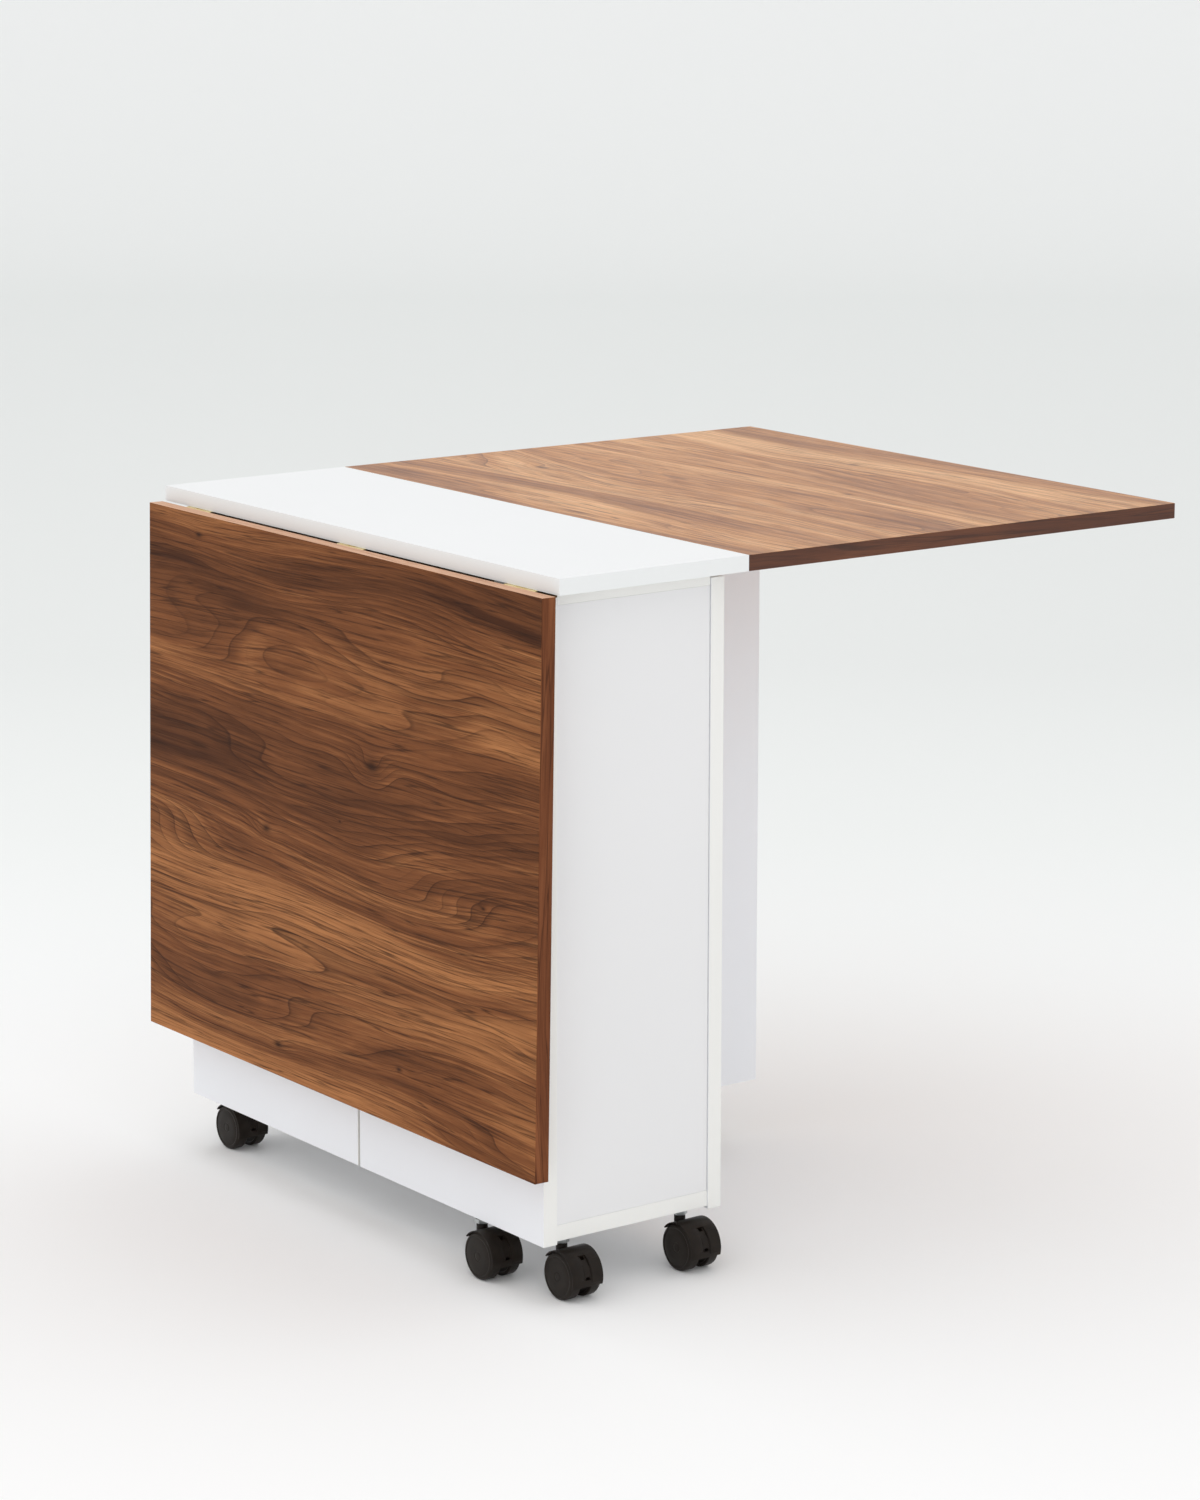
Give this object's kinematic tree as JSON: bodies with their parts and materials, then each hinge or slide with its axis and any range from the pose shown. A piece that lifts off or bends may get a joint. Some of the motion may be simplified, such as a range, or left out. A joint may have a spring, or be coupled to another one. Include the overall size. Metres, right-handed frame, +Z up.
{
  "type": "drop-leaf service table",
  "caption": "Narrow boxed service table on casters with two folding leaves, each carried by a swinging gate panel.",
  "frame": {"origin": "on the floor, centred under the whole table as it stands with one leaf raised and one hanging", "axes": "+X along the table to the right, +Y towards the raised leaf, +Z up"},
  "size_m": [0.75, 0.8712, 0.76],
  "materials": {
    "walnut_board": "satin",
    "white_top": "satin",
    "white_board": "satin",
    "brass": "satin",
    "zinc": "satin",
    "steel": "satin",
    "black_plastic": "satin",
    "grey_tread": "matte",
    "white_nylon": "satin"
  },
  "bodies": {
    "root": {"table_top": "white_top", "top_board": "white_board", "bottom_board": "white_board", "end_panel_left": "white_board", "end_panel_right": "white_board", "centre_divider": "white_board", "fixed_panel_front": "white_board", "fixed_panel_rear": "white_board", "hinge_top_plates": "brass", "hinge_pins": "brass", "gate_pivot_brackets": "steel", "box_caster_stems": "zinc", "box_caster_sockets": "black_plastic"},
    "front_leaf": {"front_leaf": "walnut_board", "front_hinge_leaf_plates": "brass", "front_leaf_stop_block": "walnut_board"},
    "front_gate": {"front_gate": "white_board", "front_gate_pivot_pins": "steel", "front_gate_glide": "white_nylon", "front_gate_caster_stems": "zinc", "front_gate_caster_sockets": "black_plastic"},
    "rear_leaf": {"rear_leaf": "walnut_board", "rear_hinge_leaf_plates": "brass", "rear_leaf_stop_block": "walnut_board"},
    "rear_gate": {"rear_gate": "white_board", "rear_gate_pivot_pins": "steel", "rear_gate_glide": "white_nylon", "rear_gate_caster_stems": "zinc", "rear_gate_caster_sockets": "black_plastic"},
    "front_left_caster_swivel": {"front_left_caster_housing": "black_plastic"},
    "front_left_caster_brake": {"front_left_caster_brake": "black_plastic"},
    "front_left_caster_wheels": {"front_left_caster_wheels": "grey_tread", "front_left_caster_axle": "steel"},
    "front_right_caster_swivel": {"front_right_caster_housing": "black_plastic"},
    "front_right_caster_brake": {"front_right_caster_brake": "black_plastic"},
    "front_right_caster_wheels": {"front_right_caster_wheels": "grey_tread", "front_right_caster_axle": "steel"},
    "rear_left_caster_swivel": {"rear_left_caster_housing": "black_plastic"},
    "rear_left_caster_brake": {"rear_left_caster_brake": "black_plastic"},
    "rear_left_caster_wheels": {"rear_left_caster_wheels": "grey_tread", "rear_left_caster_axle": "steel"},
    "rear_right_caster_swivel": {"rear_right_caster_housing": "black_plastic"},
    "rear_right_caster_brake": {"rear_right_caster_brake": "black_plastic"},
    "rear_right_caster_wheels": {"rear_right_caster_wheels": "grey_tread", "rear_right_caster_axle": "steel"},
    "front_gate_caster_swivel": {"front_gate_caster_housing": "black_plastic"},
    "front_gate_caster_brake": {"front_gate_caster_brake": "black_plastic"},
    "front_gate_caster_wheels": {"front_gate_caster_wheels": "grey_tread", "front_gate_caster_axle": "steel"},
    "rear_gate_caster_swivel": {"rear_gate_caster_housing": "black_plastic"},
    "rear_gate_caster_brake": {"rear_gate_caster_brake": "black_plastic"},
    "rear_gate_caster_wheels": {"rear_gate_caster_wheels": "grey_tread", "rear_gate_caster_axle": "steel"}
  },
  "joints": [
    {"name": "front_leaf_fold", "type": "hinge", "parent": "root", "child": "front_leaf", "pos_m": [0, -0.40709, 0.7409], "axis": [-1, 0, 0], "range_deg": [0, 90.4]},
    {"name": "rear_leaf_fold", "type": "hinge", "parent": "root", "child": "rear_leaf", "pos_m": [0, -0.16289, 0.7409], "axis": [1, 0, 0], "range_deg": [0, 1.6]},
    {"name": "front_gate_swing", "type": "hinge", "parent": "root", "child": "front_gate", "pos_m": [0.01025, -0.39149, 0.06], "axis": [0, 0, -1], "range_deg": [0, 1.3]},
    {"name": "rear_gate_swing", "type": "hinge", "parent": "root", "child": "rear_gate", "pos_m": [-0.01025, -0.17849, 0.06], "axis": [0, 0, 1], "range_deg": [0, 90]},
    {"name": "front_left_caster_turn", "type": "hinge", "parent": "root", "child": "front_left_caster_swivel", "pos_m": [-0.32, -0.36199, 0.054], "axis": [0, 0, 1], "continuous": true},
    {"name": "front_left_caster_roll", "type": "hinge", "parent": "front_left_caster_swivel", "child": "front_left_caster_wheels", "pos_m": [-0.301, -0.36199, 0.025], "axis": [0, 1, 0], "continuous": true},
    {"name": "front_left_caster_brake_press", "type": "hinge", "parent": "front_left_caster_swivel", "child": "front_left_caster_brake", "pos_m": [-0.28131, -0.36199, 0.03482], "axis": [0, 1, 0], "range_deg": [0, 4]},
    {"name": "front_right_caster_turn", "type": "hinge", "parent": "root", "child": "front_right_caster_swivel", "pos_m": [0.32, -0.36199, 0.054], "axis": [0, 0, 1], "continuous": true},
    {"name": "front_right_caster_roll", "type": "hinge", "parent": "front_right_caster_swivel", "child": "front_right_caster_wheels", "pos_m": [0.339, -0.36199, 0.025], "axis": [0, 1, 0], "continuous": true},
    {"name": "front_right_caster_brake_press", "type": "hinge", "parent": "front_right_caster_swivel", "child": "front_right_caster_brake", "pos_m": [0.35869, -0.36199, 0.03482], "axis": [0, 1, 0], "range_deg": [0, 4]},
    {"name": "rear_left_caster_turn", "type": "hinge", "parent": "root", "child": "rear_left_caster_swivel", "pos_m": [-0.32, -0.20799, 0.054], "axis": [0, 0, 1], "continuous": true},
    {"name": "rear_left_caster_roll", "type": "hinge", "parent": "rear_left_caster_swivel", "child": "rear_left_caster_wheels", "pos_m": [-0.301, -0.20799, 0.025], "axis": [0, 1, 0], "continuous": true},
    {"name": "rear_left_caster_brake_press", "type": "hinge", "parent": "rear_left_caster_swivel", "child": "rear_left_caster_brake", "pos_m": [-0.28131, -0.20799, 0.03482], "axis": [0, 1, 0], "range_deg": [0, 4]},
    {"name": "rear_right_caster_turn", "type": "hinge", "parent": "root", "child": "rear_right_caster_swivel", "pos_m": [0.32, -0.20799, 0.054], "axis": [0, 0, 1], "continuous": true},
    {"name": "rear_right_caster_roll", "type": "hinge", "parent": "rear_right_caster_swivel", "child": "rear_right_caster_wheels", "pos_m": [0.339, -0.20799, 0.025], "axis": [0, 1, 0], "continuous": true},
    {"name": "rear_right_caster_brake_press", "type": "hinge", "parent": "rear_right_caster_swivel", "child": "rear_right_caster_brake", "pos_m": [0.35869, -0.20799, 0.03482], "axis": [0, 1, 0], "range_deg": [0, 4]},
    {"name": "front_gate_caster_turn", "type": "hinge", "parent": "front_gate", "child": "front_gate_caster_swivel", "pos_m": [0.21975, -0.39149, 0.054], "axis": [0, 0, 1], "continuous": true},
    {"name": "front_gate_caster_roll", "type": "hinge", "parent": "front_gate_caster_swivel", "child": "front_gate_caster_wheels", "pos_m": [0.23875, -0.39149, 0.025], "axis": [0, 1, 0], "continuous": true},
    {"name": "front_gate_caster_brake_press", "type": "hinge", "parent": "front_gate_caster_swivel", "child": "front_gate_caster_brake", "pos_m": [0.25844, -0.39149, 0.03482], "axis": [0, 1, 0], "range_deg": [0, 4]},
    {"name": "rear_gate_caster_turn", "type": "hinge", "parent": "rear_gate", "child": "rear_gate_caster_swivel", "pos_m": [-0.01025, 0.03101, 0.054], "axis": [0, 0, 1], "continuous": true},
    {"name": "rear_gate_caster_roll", "type": "hinge", "parent": "rear_gate_caster_swivel", "child": "rear_gate_caster_wheels", "pos_m": [0.00875, 0.03101, 0.025], "axis": [0, 1, 0], "continuous": true},
    {"name": "rear_gate_caster_brake_press", "type": "hinge", "parent": "rear_gate_caster_swivel", "child": "rear_gate_caster_brake", "pos_m": [0.02844, 0.03101, 0.03482], "axis": [0, 1, 0], "range_deg": [0, 4]}
  ]
}
